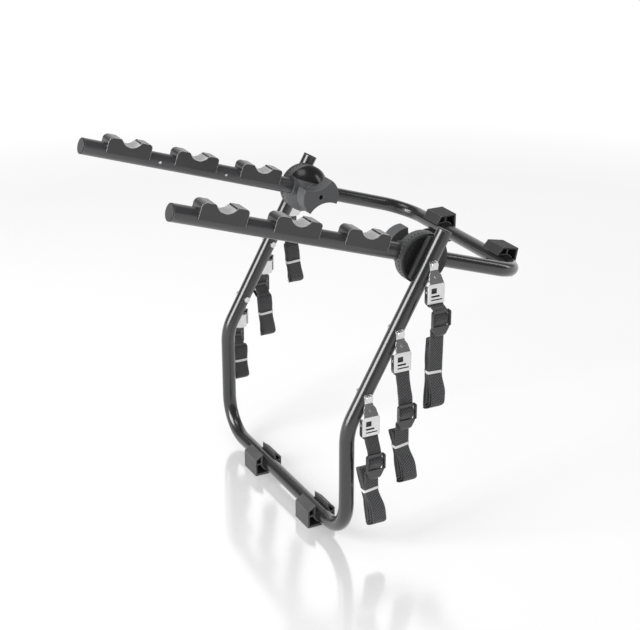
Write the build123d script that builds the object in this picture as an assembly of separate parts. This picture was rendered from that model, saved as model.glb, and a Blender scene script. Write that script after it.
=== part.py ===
"""Trunk mounted bike rack: a folding steel rack that straps to the tailgate of a car.

Millimetres, +Z up. The origin is the midpoint between the two hubs, on the fold axis.
+X points over the car, the bike arms reach towards -X, and Y runs along the fold axis.
Each side is drawn once for +Y (far) and mirrored for -Y (near).
"""
import os
from math import cos, radians, sin, sqrt

from build123d import *

# Places of the two frames, measured from the fold axis
leg_plane = 236.0
arm_plane = 197.0
arm_tilt = 18.0
leg_lean = 29.0
arm_reach = 446.0
upper_reach = 224.0
leg_top = 55.0
knee_drop = 305.0
leg_foot = 200.0

# Tubes
tube_radius = 12.7
tube_wall = 1.5
sleeve_fit = 0.1
arm_radius = tube_radius + sleeve_fit + tube_wall
upper_bend = 57.0
lower_bend = 66.0
knee_bend = 90.0
tube_overlap = 60.0
arm_tail = 30.0
cap_thickness = 2.5
cap_plug = 12.0
plug_fit = 0.05

# Bolts along Y and what turns on them
hub_bolt_radius = 4.0
strap_bolt_radius = 3.0
bolt_fit = 0.06
bolt_head_radius = 6.2
bolt_head_height = 4.0
bolt_dome = 1.4
nut_flats = 10.0
nut_thickness = 5.0
nut_gap = 0.1
washer_radius = 7.0
washer_lift = 0.4
washer_skirt = 3.0
strap_plane = leg_plane + tube_radius + washer_lift

# Hub halves; the fold face lies between them
hub_radius = 43.0
fold_face = 214.0
fold_gap = 0.3
dish_face = 221.0
dish_rim = 2.5
dish_floor = 217.3
dish_centre_radius = 16.0
saddle_half_width = 14.6
saddle_face = 229.0
saddle_reach = 40.0
disc_inner_face = 199.0
dome_face = 172.0
boss_face = 169.5
boss_radius = 15.0
holder_radius = 18.3
holder_tail = 46.0
holder_front = 36.0
tube_seat = 0.05
tooth_count = 40
tooth_width = 3.0
tooth_depth = 1.4
tooth_height = 4.0

# Winged knob
knob_front = 139.0
knob_thickness = 26.0
knob_radius = 36.0
knob_wing_half_angle = 41.0
knob_waist = 13.5
knob_edge = 1.5
knob_boss_radius = 14.0
knob_gap = 0.3
knob_bore = 4.6
knob_far_angle = 12.0
knob_near_angle = 128.0
knob_nut_flats = 13.0
knob_nut_thickness = 8.0
knob_nut_fit = 0.05
bolt_end = 150.0

# Cradles on the arms, u along the arm and v square to it
cradle_first = 111.0
cradle_end_gap = 76.0
cradle_count = 3
cradle_spacing = (arm_reach - cradle_end_gap - cradle_first) / (cradle_count - 1)
cradle_back = 44.0
cradle_front = 37.0
cradle_top = 27.0
cradle_half_width = 15.5
cradle_notch_shift = -5.0
cradle_notch_radius = 20.4
cradle_notch_floor = 15.2
cradle_back_corner = 6.0
cradle_front_corner = 9.0
cradle_lip = 3.5
cradle_fit = 0.05
liner_thickness = 1.0
liner_fit = 0.05
liner_top_gap = 2.8
rivet_head_radius = 2.4
rivet_head_height = 1.2
rivet_radius = 2.0
rivet_grip = 2.5

# Pads, an extrusion that clips over the crossbars; x and z from the bar's centre
pad_length = 48.0
pad_face = 27.0
pad_side = 22.0
pad_base = 25.0
pad_shoulder_x = 10.0
pad_upper_lip_x = 18.5
pad_upper_lip_z = 13.0
pad_mouth_top = 12.0
pad_lip_x = 18.7
pad_lip_z = 10.8
pad_chamfer_x = 6.6
pad_bore_fit = 0.3
pad_ring = 2.5
pad_wall = 3.0
pad_rib = 2.5
pad_cell_least_area = 6.0
upper_pad_far_start = 55.0
upper_pad_near_start = -140.0
upper_pad_near_tilt = -11.5
lower_pad_far_start = 63.0
lower_pad_near_start = -148.0

# Strap hanger and cam buckle; w outward from the strap plane, z down from the bolt
plate_thickness = 2.0
plate_gap = 0.1
plate_top_radius = 7.5
plate_jog_start = 9.0
plate_jog_end = 29.0
plate_neck = 12.0
plate_flare = 17.0
plate_flare_half_width = 11.0
plate_shoulder_half_width = 13.0
buckle_top = 31.0
buckle_bottom = 62.0
buckle_half_width = 16.0
buckle_floor = 12.0
buckle_corner = 3.5
plate_bend = 3.0
ear_thickness = 2.0
ear_top = 33.0
ear_bottom = 64.0
ear_inner = 1.4
ear_corner = 4.0
window_side = 10.5
window_top = 35.5
window_bottom = 44.5
window_bar = 0.5
slot_top = 48.0
slot_bottom = 51.0
slot_end = 5.0
low_slot_top = 54.5
low_slot_bottom = 56.5
buckle_rivet_radius = 2.4
buckle_rivet_height = 1.2

# Cam lever
axle_out = 4.6
axle_drop = 44.0
axle_radius = 2.0
axle_fit = 0.05
axle_end = 1.0
cam_radius = 3.9
lever_half_width = 12.5
lever_thickness = 2.0
lever_face = 1.6
lever_length = 23.0
lever_tip = 3.0
lever_corner = 4.0

# Webbing
web_width = 25.4
web_thickness = 1.8
web_out = 9.8
web_top = 37.0
web_bend = 2.2
web_exit = 2.5
web_step = 7.0
roll_pitch = 2.4
roll_turns = 3
roll_out = 7.4
roll_tail = 9.0

# Hook plate
hook_out = 26.0
hook_thickness = 2.0
hook_half_width = 17.0
hook_bar = 5.0
hook_slot = 9.0
hook_slot_half_width = 13.6
hook_thread = 2.3
hook_flat = 41.0
hook_taper_start = 30.0
hook_tongue_half_width = 11.0
hook_tip_half_width = 6.0
hook_curl = 4.0
hook_curl_turn = 165.0
hook_tip = 3.0
hook_corner = 3.0
hook_flange = 5.0
hook_flange_top = 2.0
hook_flange_bottom = 28.0

# Tie round the rolled end
tie_thickness = 1.0
tie_height = 3.4
tie_gap = 0.4

overrun = 5.0

# Straps: name, bolt's place down the leg, then drops from the bolt to the hook's top,
# the roll's top and bottom and the tie
straps = [
    ("near_1", -1, 240.0, 90.0, 118.0, 230.0, 160.0),
    ("near_2", -1, 123.0, 115.0, 165.0, 266.0, 194.0),
    ("near_3", -1, 0.0, 69.0, 122.0, 248.0, 182.0),
    ("far_1", 1, 236.0, 76.0, 104.0, 176.0, 136.0),
    ("far_2", 1, 122.0, 80.0, 110.0, 196.0, 148.0),
    ("far_3", 1, 0.0, 73.0, 122.0, 204.0, 160.0),
]


def side_name(side):
    """Name of a side: -1 is near, +1 is far."""
    return "near" if side < 0 else "far"


def along_arm(u, v=0.0, y=0.0):
    """Point u along the arm from the fold axis and v square to it."""
    t = radians(arm_tilt)
    return Vector(-u * cos(t) + v * sin(t), y, u * sin(t) + v * cos(t))


def down_leg(s, y=0.0):
    """Point s down the slanted leg from the fold axis."""
    t = radians(leg_lean)
    return Vector(-s * sin(t), y, -s * cos(t))


knee = down_leg(knee_drop)
upper_bar = along_arm(-upper_reach)
lower_bar = knee - Vector(0, 0, leg_foot)


def rod(start, end, radius):
    """Round bar between two points."""
    start, end = Vector(start), Vector(end)
    run = end - start
    return extrude(Plane(origin=start, z_dir=run) * Circle(radius), amount=run.length)


def y_rod(x, z, radius, y_from, y_to):
    """Round bar along Y."""
    return rod((x, y_from, z), (x, y_to, z), radius)


def hexagon_rod(x, z, flats, y_from, y_to):
    """Hexagonal bar along Y, given by its width across flats."""
    outline = RegularPolygon(flats / 2, 6, major_radius=False)
    return extrude(Plane((x, y_from, z), z_dir=(0, 1, 0)) * outline, amount=y_to - y_from)


def slab(outline, y_from, y_to):
    """Outline drawn in X and Z, extruded along Y."""
    plane = Plane(origin=(0, y_to, 0), x_dir=(1, 0, 0), z_dir=(0, -1, 0))
    return extrude(plane * outline, amount=y_to - y_from)


def strip(outline, half_width):
    """Outline drawn in Y and Z, extruded along X to both sides of zero."""
    plane = Plane(origin=(-half_width, 0, 0), x_dir=(0, 1, 0), z_dir=(1, 0, 0))
    return extrude(plane * outline, amount=2 * half_width)


def tube(path, radius, wall):
    """Bent tube along a path."""
    start = Plane(origin=path @ 0, z_dir=path % 0)
    return sweep(start * (Circle(radius) - Circle(radius - wall)), path=path)


def on_side(shape, side):
    """The shape as drawn for the far side, or mirrored for the near side."""
    return shape if side > 0 else mirror(shape, about=Plane.XZ)


def strap_spots():
    """The bolt place of every strap: side and distance down the leg."""
    return [(strap[1], strap[2]) for strap in straps]


def lower_frame_tube():
    """Legs, knees, uprights and the lower crossbar, drilled for every bolt."""
    half = [down_leg(-leg_top), knee, lower_bar]
    points = [p + Vector(0, leg_plane, 0) for p in half]
    points += [p - Vector(0, leg_plane, 0) for p in reversed(half)]
    path = FilletPolyline(*points, radius=[knee_bend, lower_bend, lower_bend, knee_bend])
    body = tube(path, tube_radius, tube_wall)
    for side, drop in strap_spots():
        radius = hub_bolt_radius if drop == 0 else strap_bolt_radius
        spot = down_leg(drop)
        reach = leg_plane + tube_radius + overrun
        hole = y_rod(spot.X, spot.Z, radius + bolt_fit, leg_plane - tube_radius - overrun, reach)
        body -= on_side(hole, side)
    return body


def end_cap(end, out, radius, wall):
    """Plug in the open end of a tube; out is the unit direction away from the tube."""
    flange = rod(end, end + out * cap_thickness, radius)
    plug = rod(end - out * cap_plug, end, radius - wall - plug_fit)
    rim = flange.edges().filter_by(GeomType.CIRCLE).sort_by_distance(end + out * cap_plug)[0]
    return fillet(rim, cap_thickness / 2) + plug


def upper_frame_tube():
    """The U that reaches over the trunk lid, its ends inside the arm tubes."""
    points = [
        along_arm(tube_overlap, y=arm_plane),
        along_arm(-upper_reach, y=arm_plane),
        along_arm(-upper_reach, y=-arm_plane),
        along_arm(tube_overlap, y=-arm_plane),
    ]
    body = tube(FilletPolyline(*points, radius=upper_bend), tube_radius, tube_wall)
    for side in (-1, 1):
        hole = y_rod(0, 0, hub_bolt_radius + bolt_fit, boss_face, fold_face)
        body -= on_side(hole, side)
    return body


def cradle_places():
    """Distance from the fold axis to the middle of each cradle."""
    return [cradle_first + cradle_spacing * i for i in range(cradle_count)]


def rivet_spots():
    """Places on the arm's axis halfway between the cradles."""
    places = cradle_places()
    return [along_arm((a + b) / 2) for a, b in zip(places, places[1:])]


def arm_tube():
    """Bike arm, a sleeve over the end of the U."""
    start = along_arm(-arm_tail, y=arm_plane)
    end = along_arm(arm_reach, y=arm_plane)
    body = rod(start, end, arm_radius) - rod(start, end, arm_radius - tube_wall)
    body -= y_rod(0, 0, hub_bolt_radius + bolt_fit, boss_face, fold_face)
    for spot in rivet_spots():
        body -= y_rod(spot.X, spot.Z, rivet_radius + bolt_fit, arm_plane - arm_radius - overrun, arm_plane)
    return body


def cradle_outline(place):
    """Side view of one cradle in X and Z, humps either side of the notch."""
    corners = [
        (place - cradle_back, 0),
        (place - cradle_back, cradle_top),
        (place + cradle_front, cradle_top),
        (place + cradle_front, 0),
    ]
    points = [(p.X, p.Z) for p in (along_arm(u, v) for u, v in corners)]
    outline = make_face(FilletPolyline(*points, radius=[0, cradle_back_corner, cradle_front_corner, 0],
                                       close=True))
    centre = notch_centre(place)
    outline -= Pos(centre.X, centre.Z) * Circle(cradle_notch_radius)
    rise = cradle_notch_floor + cradle_notch_radius - cradle_top
    lip = along_arm(place + cradle_notch_shift + sqrt(cradle_notch_radius**2 - rise**2), cradle_top)
    corner = min(outline.vertices(), key=lambda v: abs(v.X - lip.X) + abs(v.Y - lip.Z))
    return fillet(corner, cradle_lip)


def notch_centre(place):
    """Axis of the bike tube that lies in a cradle's notch."""
    return along_arm(place + cradle_notch_shift, cradle_notch_floor + cradle_notch_radius)


def cradle(place):
    """Rubber cradle that straddles the arm."""
    body = slab(cradle_outline(place), arm_plane - cradle_half_width, arm_plane + cradle_half_width)
    start = along_arm(place - cradle_back - overrun, y=arm_plane)
    end = along_arm(place + cradle_front + overrun, y=arm_plane)
    return body - rod(start, end, arm_radius + cradle_fit)


def liner(place):
    """Smooth liner in a cradle's notch."""
    centre = notch_centre(place)
    outer = cradle_notch_radius - liner_fit
    ring = Pos(centre.X, centre.Z) * (Circle(outer) - Circle(outer - liner_thickness))
    low = along_arm(place + cradle_notch_shift, cradle_top - liner_top_gap - cradle_notch_radius)
    keep = Pos(low.X, low.Z) * Rot(0, 0, -arm_tilt) * Rectangle(4 * cradle_notch_radius, 2 * cradle_notch_radius)
    return slab(ring & keep, arm_plane - cradle_half_width, arm_plane + cradle_half_width)


def cradle_rivet(spot):
    """Rivet in the inner wall of the arm."""
    surface = arm_plane - arm_radius
    head = y_rod(spot.X, spot.Z, rivet_head_radius, surface - rivet_head_height, surface)
    return head + y_rod(spot.X, spot.Z, rivet_radius, surface, surface + rivet_grip)


def hub_dish():
    """Outer half of a hub: a dished disc and the saddle that the leg lies in."""
    inner = fold_face + fold_gap
    mouth = hub_radius - dish_rim
    profile = make_face(
        Polyline((0, dish_floor), (0, inner), (hub_radius, inner), (hub_radius, dish_face), (mouth, dish_face))
        + ThreePointArc((mouth, dish_face), ((mouth + dish_centre_radius) / 2, dish_floor + dish_rim / 2),
                        (dish_centre_radius, dish_floor))
        + Line((dish_centre_radius, dish_floor), (0, dish_floor))
    )
    dish = revolve(profile, axis=Axis.Y)
    block = Plane(origin=(0, dish_floor, 0), x_dir=down_leg(1), z_dir=(0, 1, 0)) * Rectangle(
        2 * hub_radius, 2 * saddle_half_width)
    saddle = extrude(block, amount=saddle_face - dish_floor)
    dish += saddle & y_rod(0, 0, saddle_reach, inner, saddle_face)
    dish -= rod(down_leg(-hub_radius - overrun, leg_plane), down_leg(hub_radius + overrun, leg_plane),
                tube_radius + tube_seat)
    return dish - y_rod(0, 0, hub_bolt_radius + bolt_fit, inner - overrun, strap_plane)


def hub_housing():
    """Inner half of a hub: toothed disc, domed back and the holder round the arm."""
    rise = disc_inner_face - dome_face
    dome_radius = (hub_radius ** 2 + rise ** 2) / (2 * rise)
    halfway = hub_radius / 2
    profile = make_face(
        ThreePointArc((0, dome_face), (halfway, dome_face + dome_radius - sqrt(dome_radius ** 2 - halfway ** 2)),
                      (hub_radius, disc_inner_face))
        + Polyline((hub_radius, disc_inner_face), (hub_radius, fold_face), (0, fold_face), (0, dome_face))
    )
    housing = revolve(profile, axis=Axis.Y)
    housing += y_rod(0, 0, boss_radius, boss_face, dome_face + boss_radius)
    holder = rod(along_arm(-holder_tail, y=arm_plane), along_arm(holder_front, y=arm_plane), holder_radius)
    outside = Pos(0, fold_face + hub_radius, 0) * Box(4 * hub_radius, 2 * hub_radius, 4 * hub_radius)
    housing += holder - outside
    for i in range(tooth_count):
        cut = Pos(hub_radius, fold_face, 0) * Box(2 * tooth_depth, 2 * tooth_height, tooth_width)
        housing -= Rot(0, i * 360 / tooth_count, 0) * cut
    housing -= rod(along_arm(-arm_tail, y=arm_plane), along_arm(hub_radius + overrun, y=arm_plane),
                   arm_radius + tube_seat)
    housing -= rod(along_arm(-holder_tail - overrun, y=arm_plane), along_arm(0, y=arm_plane),
                   tube_radius + tube_seat)
    return housing - y_rod(0, 0, hub_bolt_radius + bolt_fit, boss_face - overrun, fold_face + overrun)


def bolt(x, z, radius, y_end):
    """Domed bolt along Y, its head outside the strap plate."""
    seat = strap_plane + plate_gap + plate_thickness + plate_gap
    head = y_rod(x, z, bolt_head_radius, seat, seat + bolt_head_height)
    head = fillet(head.edges().filter_by(GeomType.CIRCLE).sort_by(Axis.Y)[-1], bolt_dome)
    return head + y_rod(x, z, radius, y_end, seat)


def saddle_washer(x, z, radius):
    """Washer shaped to the leg, which gives the strap plate a flat seat."""
    body = y_rod(x, z, washer_radius, leg_plane + tube_radius - washer_skirt, strap_plane)
    body -= rod(down_leg(-leg_top, leg_plane), down_leg(knee_drop, leg_plane), tube_radius)
    return body - y_rod(x, z, radius + bolt_fit, leg_plane, strap_plane + overrun)


def nut(x, z):
    """Nut on the inner side of the leg."""
    face = leg_plane - tube_radius - nut_gap
    body = hexagon_rod(x, z, nut_flats, face - nut_thickness, face)
    return body - y_rod(x, z, strap_bolt_radius, face - nut_thickness, face)


def knob_outline():
    """Two wings with concave flanks."""
    a = radians(knob_wing_half_angle)
    x, y = knob_radius * cos(a), knob_radius * sin(a)
    return make_face(
        ThreePointArc((x, -y), (knob_radius, 0), (x, y))
        + ThreePointArc((x, y), (0, knob_waist), (-x, y))
        + ThreePointArc((-x, y), (-knob_radius, 0), (-x, -y))
        + ThreePointArc((-x, -y), (0, -knob_waist), (x, -y))
    )


def knob(turn):
    """Winged knob with a pocket for its nut in the back."""
    back = knob_front + knob_thickness
    body = slab(Rot(0, 0, turn) * knob_outline(), knob_front, back)
    body = fillet(body.faces().sort_by(Axis.Y)[0].edges(), knob_edge)
    seat = boss_face - knob_gap
    body += y_rod(0, 0, knob_boss_radius, back, seat)
    body -= y_rod(0, 0, knob_bore, knob_front, seat)
    return body - hexagon_rod(0, 0, knob_nut_flats + 2 * knob_nut_fit, seat - knob_nut_thickness, seat)


def knob_nut():
    """Steel nut in the back of the knob."""
    seat = boss_face - knob_gap
    body = hexagon_rod(0, 0, knob_nut_flats, seat - knob_nut_thickness, seat)
    return body - y_rod(0, 0, hub_bolt_radius + bolt_fit, seat - knob_nut_thickness, seat)


def pad_outline():
    """Section of a pad: a clip round the bar below a hollow block."""
    outer = make_face(Polyline(
        (-pad_shoulder_x, pad_face), (pad_side, pad_face), (pad_side, -pad_base),
        (-pad_chamfer_x, -pad_base), (-pad_lip_x, -pad_lip_z), (-pad_upper_lip_x, pad_upper_lip_z), close=True))
    bore = tube_radius + pad_bore_fit
    throat = make_face(Polyline(
        (0, pad_mouth_top), (-pad_side, pad_mouth_top), (-pad_side, -pad_lip_z), (0, -pad_lip_z), close=True))
    ring = Circle(bore + pad_ring)
    ribs = [Rot(0, 0, angle) * Pos(pad_side, 0) * Rectangle(2 * pad_side, pad_rib) for angle in (90, 0, -90)]
    cells = offset(outer, -pad_wall) - ring
    for rib in ribs:
        cells -= rib
    cells -= offset(throat, pad_wall)
    section = outer - Circle(bore) - throat
    for cell in cells.faces():
        if cell.area > pad_cell_least_area:
            section -= cell
    return section


def pad(bar, start, turn):
    """Pad on a crossbar, turned about it; turn in degrees, clockwise is negative."""
    outline = Rot(0, 0, turn) * pad_outline()
    return Pos(bar.X, 0, bar.Z) * slab(outline, start, start + pad_length)


def lower_pad(start):
    """Pad on the lower bar: face towards the car's rear panel, mouth upwards."""
    outline = mirror(Rot(0, 0, 90) * pad_outline(), about=Plane.XZ)
    return Pos(lower_bar.X, 0, lower_bar.Z) * slab(outline, start, start + pad_length)


def out(w):
    """Distance from the middle plane to a place w outside the strap plane."""
    return strap_plane + w


def buckle_plate(bolt_radius):
    """Hanger and buckle frame folded from one plate, with two ears behind it."""
    middle = plate_gap + plate_thickness / 2
    floor = FilletPolyline(
        (out(middle), plate_top_radius + overrun), (out(middle), -plate_jog_start),
        (out(buckle_floor), -plate_jog_end), (out(buckle_floor), -buckle_bottom), radius=plate_bend)
    folded = strip(trace(floor, plate_thickness), buckle_half_width)
    face = Circle(plate_top_radius) + make_face(Polyline(
        (0, 0), (plate_top_radius, 0), (plate_top_radius, -plate_neck), (plate_flare_half_width, -plate_flare),
        (plate_shoulder_half_width, -plate_jog_end), (buckle_half_width, -buckle_top),
        (buckle_half_width, -buckle_bottom), (0, -buckle_bottom), close=True))
    face += mirror(face, about=Plane.YZ)
    body = folded & slab(face, strap_plane - overrun, out(buckle_floor + overrun))
    depth = buckle_floor - ear_inner
    ear_face = RectangleRounded(depth, ear_bottom - ear_top, ear_corner)
    ear = strip(Pos(out(ear_inner + depth / 2), -(ear_top + ear_bottom) / 2) * ear_face, ear_thickness / 2)
    shift = buckle_half_width - ear_thickness / 2
    body += Pos(shift, 0, 0) * ear + Pos(-shift, 0, 0) * ear
    for end, top, bottom in ((-window_bar, window_top, window_bottom), (slot_end, slot_top, slot_bottom),
                             (window_side, low_slot_top, low_slot_bottom)):
        hole = Pos((end - window_side) / 2, -(top + bottom) / 2) * Rectangle(end + window_side, bottom - top)
        body -= slab(hole, out(buckle_floor - plate_thickness), out(buckle_floor + plate_thickness))
    front = out(buckle_floor + plate_thickness / 2)
    rounded = Pos(0, front - buckle_half_width) * RectangleRounded(
        2 * buckle_half_width, 2 * buckle_half_width, buckle_corner)
    body &= Pos(0, 0, -ear_bottom - overrun) * extrude(rounded, ear_bottom + plate_top_radius + 2 * overrun)
    body -= y_rod(0, 0, bolt_radius + bolt_fit, strap_plane - overrun, out(plate_thickness + overrun))
    body -= rod((-buckle_half_width - overrun, out(axle_out), -axle_drop),
                (buckle_half_width + overrun, out(axle_out), -axle_drop), axle_radius + axle_fit)
    middle, normal = slope_middle()
    return body - rod(middle - normal * overrun, middle + normal * overrun, rivet_radius)


def slope_middle():
    """Middle of the plate's sloping stretch, and the direction square to it."""
    flat = plate_gap + plate_thickness / 2
    middle = Vector(0, out((flat + buckle_floor) / 2), -(plate_jog_start + plate_jog_end) / 2)
    return middle, Vector(0, plate_jog_end - plate_jog_start, buckle_floor - flat).normalized()


def buckle_rivet():
    """Rivet in the plate's sloping stretch."""
    middle, normal = slope_middle()
    front, back = middle + normal * plate_thickness / 2, middle - normal * plate_thickness / 2
    body = rod(back, front, rivet_radius)
    body += rod(front, front + normal * buckle_rivet_height, buckle_rivet_radius)
    return body + rod(back, back - normal * buckle_rivet_height / 2, buckle_rivet_radius)


def axle_pin():
    """Pin of the cam lever, through both ears."""
    end = buckle_half_width + axle_end
    return rod((-end, out(axle_out), -axle_drop), (end, out(axle_out), -axle_drop), axle_radius)


def lever():
    """Cam with its tail behind the webbing."""
    cam = Pos(out(axle_out), -axle_drop) * Circle(cam_radius)
    inner, outer = out(lever_face), out(lever_face + lever_thickness)
    end = -(axle_drop + lever_length)
    tail = make_face(Polyline(
        (inner, -axle_drop), (outer, -axle_drop), (outer, end), (outer + lever_tip, end - lever_tip),
        (inner + lever_tip, end - lever_tip), (inner, end), close=True))
    body = strip(cam + tail, lever_half_width)
    width, height = 2 * lever_half_width, 2 * (lever_length + lever_tip)
    face = Pos(0, -axle_drop) * RectangleRounded(width, height, lever_corner)
    body &= slab(face, strap_plane - overrun, out(buckle_floor))
    hole = rod((-buckle_half_width, out(axle_out), -axle_drop), (buckle_half_width, out(axle_out), -axle_drop),
               axle_radius + bolt_fit)
    return body - hole


def webbing(hook_top, roll_top, roll_bottom):
    """Webbing from the cam down through the hook, its slack rolled flat."""
    back, front = out(hook_out - hook_thread), out(hook_out + hook_thread)
    first_bar = hook_top + hook_bar
    second_bar = first_bar + hook_slot
    slot_two = second_bar + hook_bar
    leave = slot_two + hook_slot
    feed = out(roll_out + roll_turns * roll_pitch)
    outer_arc = (roll_turns - 1 / 2) * roll_pitch
    low = -roll_bottom + outer_arc + web_thickness / 2
    high = -roll_top - (roll_turns - 1) * roll_pitch - web_thickness / 2
    upper = FilletPolyline(
        (out(web_out), -web_top), (out(web_out), -buckle_bottom - web_exit), (back, -hook_top),
        (back, -first_bar), (front, -second_bar), (front, -slot_two), (back, -leave),
        (feed, -leave - web_step), (feed, low), radius=web_bend)
    path = upper.edges()
    here = roll_turns
    for k in range(2 * roll_turns - 1):
        there = -(abs(here) - 1) if k % 2 == 0 else -here
        level = low if k % 2 == 0 else high
        a, b = out(roll_out + here * roll_pitch), out(roll_out + there * roll_pitch)
        sag = abs(a - b) / 2
        top = level - sag if k % 2 == 0 else level + sag
        path.append(ThreePointArc((a, level), ((a + b) / 2, top), (b, level)).edge())
        goal = high if k % 2 == 0 else low
        if k == 2 * roll_turns - 2:
            goal = high - roll_tail
        path.append(Line((b, level), (b, goal)).edge())
        here = there
    return strip(trace(path, web_thickness), web_width / 2)


def hook():
    """Slotted plate with a curled tongue; drawn with its top at zero."""
    curl = CenterArc((out(hook_out - hook_curl), -hook_flat), hook_curl, 0, -hook_curl_turn)
    tip = Line(curl @ 1, (curl @ 1) + (curl % 1) * hook_tip)
    bent = strip(trace([Line((out(hook_out), 0), (out(hook_out), -hook_flat)), curl, tip], hook_thickness),
                 hook_half_width)
    bottom = -(hook_flat + hook_curl + hook_thickness)
    face = make_face(Polyline(
        (-hook_half_width, 0), (hook_half_width, 0), (hook_half_width, -hook_taper_start),
        (hook_tongue_half_width, -hook_flat), (hook_tip_half_width, bottom),
        (-hook_tip_half_width, bottom), (-hook_tongue_half_width, -hook_flat),
        (-hook_half_width, -hook_taper_start), close=True))
    face = fillet(face.vertices().filter_by_position(Axis.Y, -hook_corner, 0), hook_corner)
    body = bent & slab(face, strap_plane, out(hook_out + overrun))
    for top in (hook_bar, 2 * hook_bar + hook_slot):
        hole = Pos(0, -top - hook_slot / 2) * Rectangle(2 * hook_slot_half_width, hook_slot)
        body -= slab(hole, out(hook_out - hook_thickness), out(hook_out + hook_thickness))
    height = hook_flange_bottom - hook_flange_top
    flange_face = Pos(out(hook_out + hook_flange / 2), -hook_flange_top - height / 2) * RectangleRounded(
        hook_flange, height, hook_flange / 3)
    flange = strip(flange_face, hook_thickness / 2)
    shift = hook_half_width - hook_thickness / 2
    return body + Pos(shift, 0, 0) * flange + Pos(-shift, 0, 0) * flange


def tie(drop):
    """Closed band round the roll."""
    inner = roll_out - (roll_turns - 1) * roll_pitch - web_thickness / 2 - tie_gap
    outer = roll_out + roll_turns * roll_pitch + web_thickness / 2 + tie_gap
    half = web_width / 2 + tie_gap
    hole = Pos(0, out((inner + outer) / 2)) * Rectangle(2 * half, outer - inner)
    band = Pos(0, out((inner + outer) / 2)) * RectangleRounded(
        2 * (half + tie_thickness), outer - inner + 2 * tie_thickness, tie_thickness)
    return extrude(Plane((0, 0, -drop - tie_height / 2)) * (band - hole), amount=tie_height)


def write(name, *solids):
    """Write one node; several solids go in as a group."""
    shape = solids[0] if len(solids) == 1 else Compound(children=list(solids))
    export_step(shape, f"parts/{name}.step")


def write_frames():
    """Both frames, the hubs and their fasteners."""
    up_leg, up_arm = down_leg(-1), along_arm(1)
    leg_end, arm_end = down_leg(-leg_top, leg_plane), along_arm(arm_reach, y=arm_plane)
    leg_cap = end_cap(leg_end, up_leg, tube_radius, tube_wall)
    arm_cap = end_cap(arm_end, up_arm, arm_radius, tube_wall)
    write("lower_frame_tube", lower_frame_tube())
    write("leg_end_caps", *[on_side(leg_cap, s) for s in (-1, 1)])
    write("upper_frame_tube", upper_frame_tube())
    write("arm_end_caps", *[on_side(arm_cap, s) for s in (-1, 1)])
    write("hub_bolts", *[on_side(bolt(0, 0, hub_bolt_radius, bolt_end), s) for s in (-1, 1)])
    bolts, nuts, washers = [], [], []
    for side, drop in strap_spots():
        spot = down_leg(drop)
        radius = hub_bolt_radius if drop == 0 else strap_bolt_radius
        washers.append(on_side(saddle_washer(spot.X, spot.Z, radius), side))
        if drop > 0:
            end = leg_plane - tube_radius - nut_thickness - 2 * nut_gap
            bolts.append(on_side(bolt(spot.X, spot.Z, radius, end), side))
            nuts.append(on_side(nut(spot.X, spot.Z), side))
    write("strap_bolts", *bolts, *washers)
    write("bolt_nuts", *nuts)
    arm, dish, housing = arm_tube(), hub_dish(), hub_housing()
    for side in (-1, 1):
        write(f"arm_tube_{side_name(side)}", on_side(arm, side))
        write(f"hub_dish_{side_name(side)}", on_side(dish, side))
        write(f"hub_housing_{side_name(side)}", on_side(housing, side))
        turn = knob_near_angle if side < 0 else knob_far_angle
        write(f"knob_{side_name(side)}", on_side(knob(turn), side))
        write(f"knob_nut_{side_name(side)}", on_side(knob_nut(), side))


def write_cradles():
    """Cradles, their liners and the rivets between them."""
    liners, rivets = [], []
    for number, place in enumerate(cradle_places(), start=1):
        body = cradle(place)
        for side in (-1, 1):
            write(f"cradle_{side_name(side)}_{number}", on_side(body, side))
            liners.append(on_side(liner(place), side))
    for spot in rivet_spots():
        rivets += [on_side(cradle_rivet(spot), side) for side in (-1, 1)]
    write("cradle_liners", *liners)
    write("cradle_rivets", *rivets)


def write_pads():
    """Two pads on each crossbar."""
    write("upper_pad_near", pad(upper_bar, upper_pad_near_start, upper_pad_near_tilt))
    write("upper_pad_far", pad(upper_bar, upper_pad_far_start, 0))
    write("lower_pad_near", lower_pad(lower_pad_near_start))
    write("lower_pad_far", lower_pad(lower_pad_far_start))


def write_straps():
    """Buckle, lever, webbing, hook and tie of every strap."""
    for name, side, drop, hook_top, roll_top, roll_bottom, tie_drop in straps:
        bolt_radius = hub_bolt_radius if drop == 0 else strap_bolt_radius
        pieces = {
            "strap_buckle": [buckle_plate(bolt_radius), buckle_rivet(), axle_pin()],
            "strap_lever": [lever()],
            "strap_webbing": [webbing(hook_top, roll_top, roll_bottom)],
            "strap_hook": [Pos(0, 0, -hook_top) * hook()],
            "strap_tie": [tie(tie_drop)],
        }
        spot = Pos(down_leg(drop))
        for piece, solids in pieces.items():
            write(f"{piece}_{name}", *[on_side(spot * solid, side) for solid in solids])


os.makedirs("parts", exist_ok=True)
write_frames()
write_cradles()
write_pads()
write_straps()
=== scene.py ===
"""Trunk mounted bike rack: finishes, webbing, stage and camera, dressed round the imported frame."""
import math

import bmesh
import bpy
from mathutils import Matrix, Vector, noise


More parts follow.
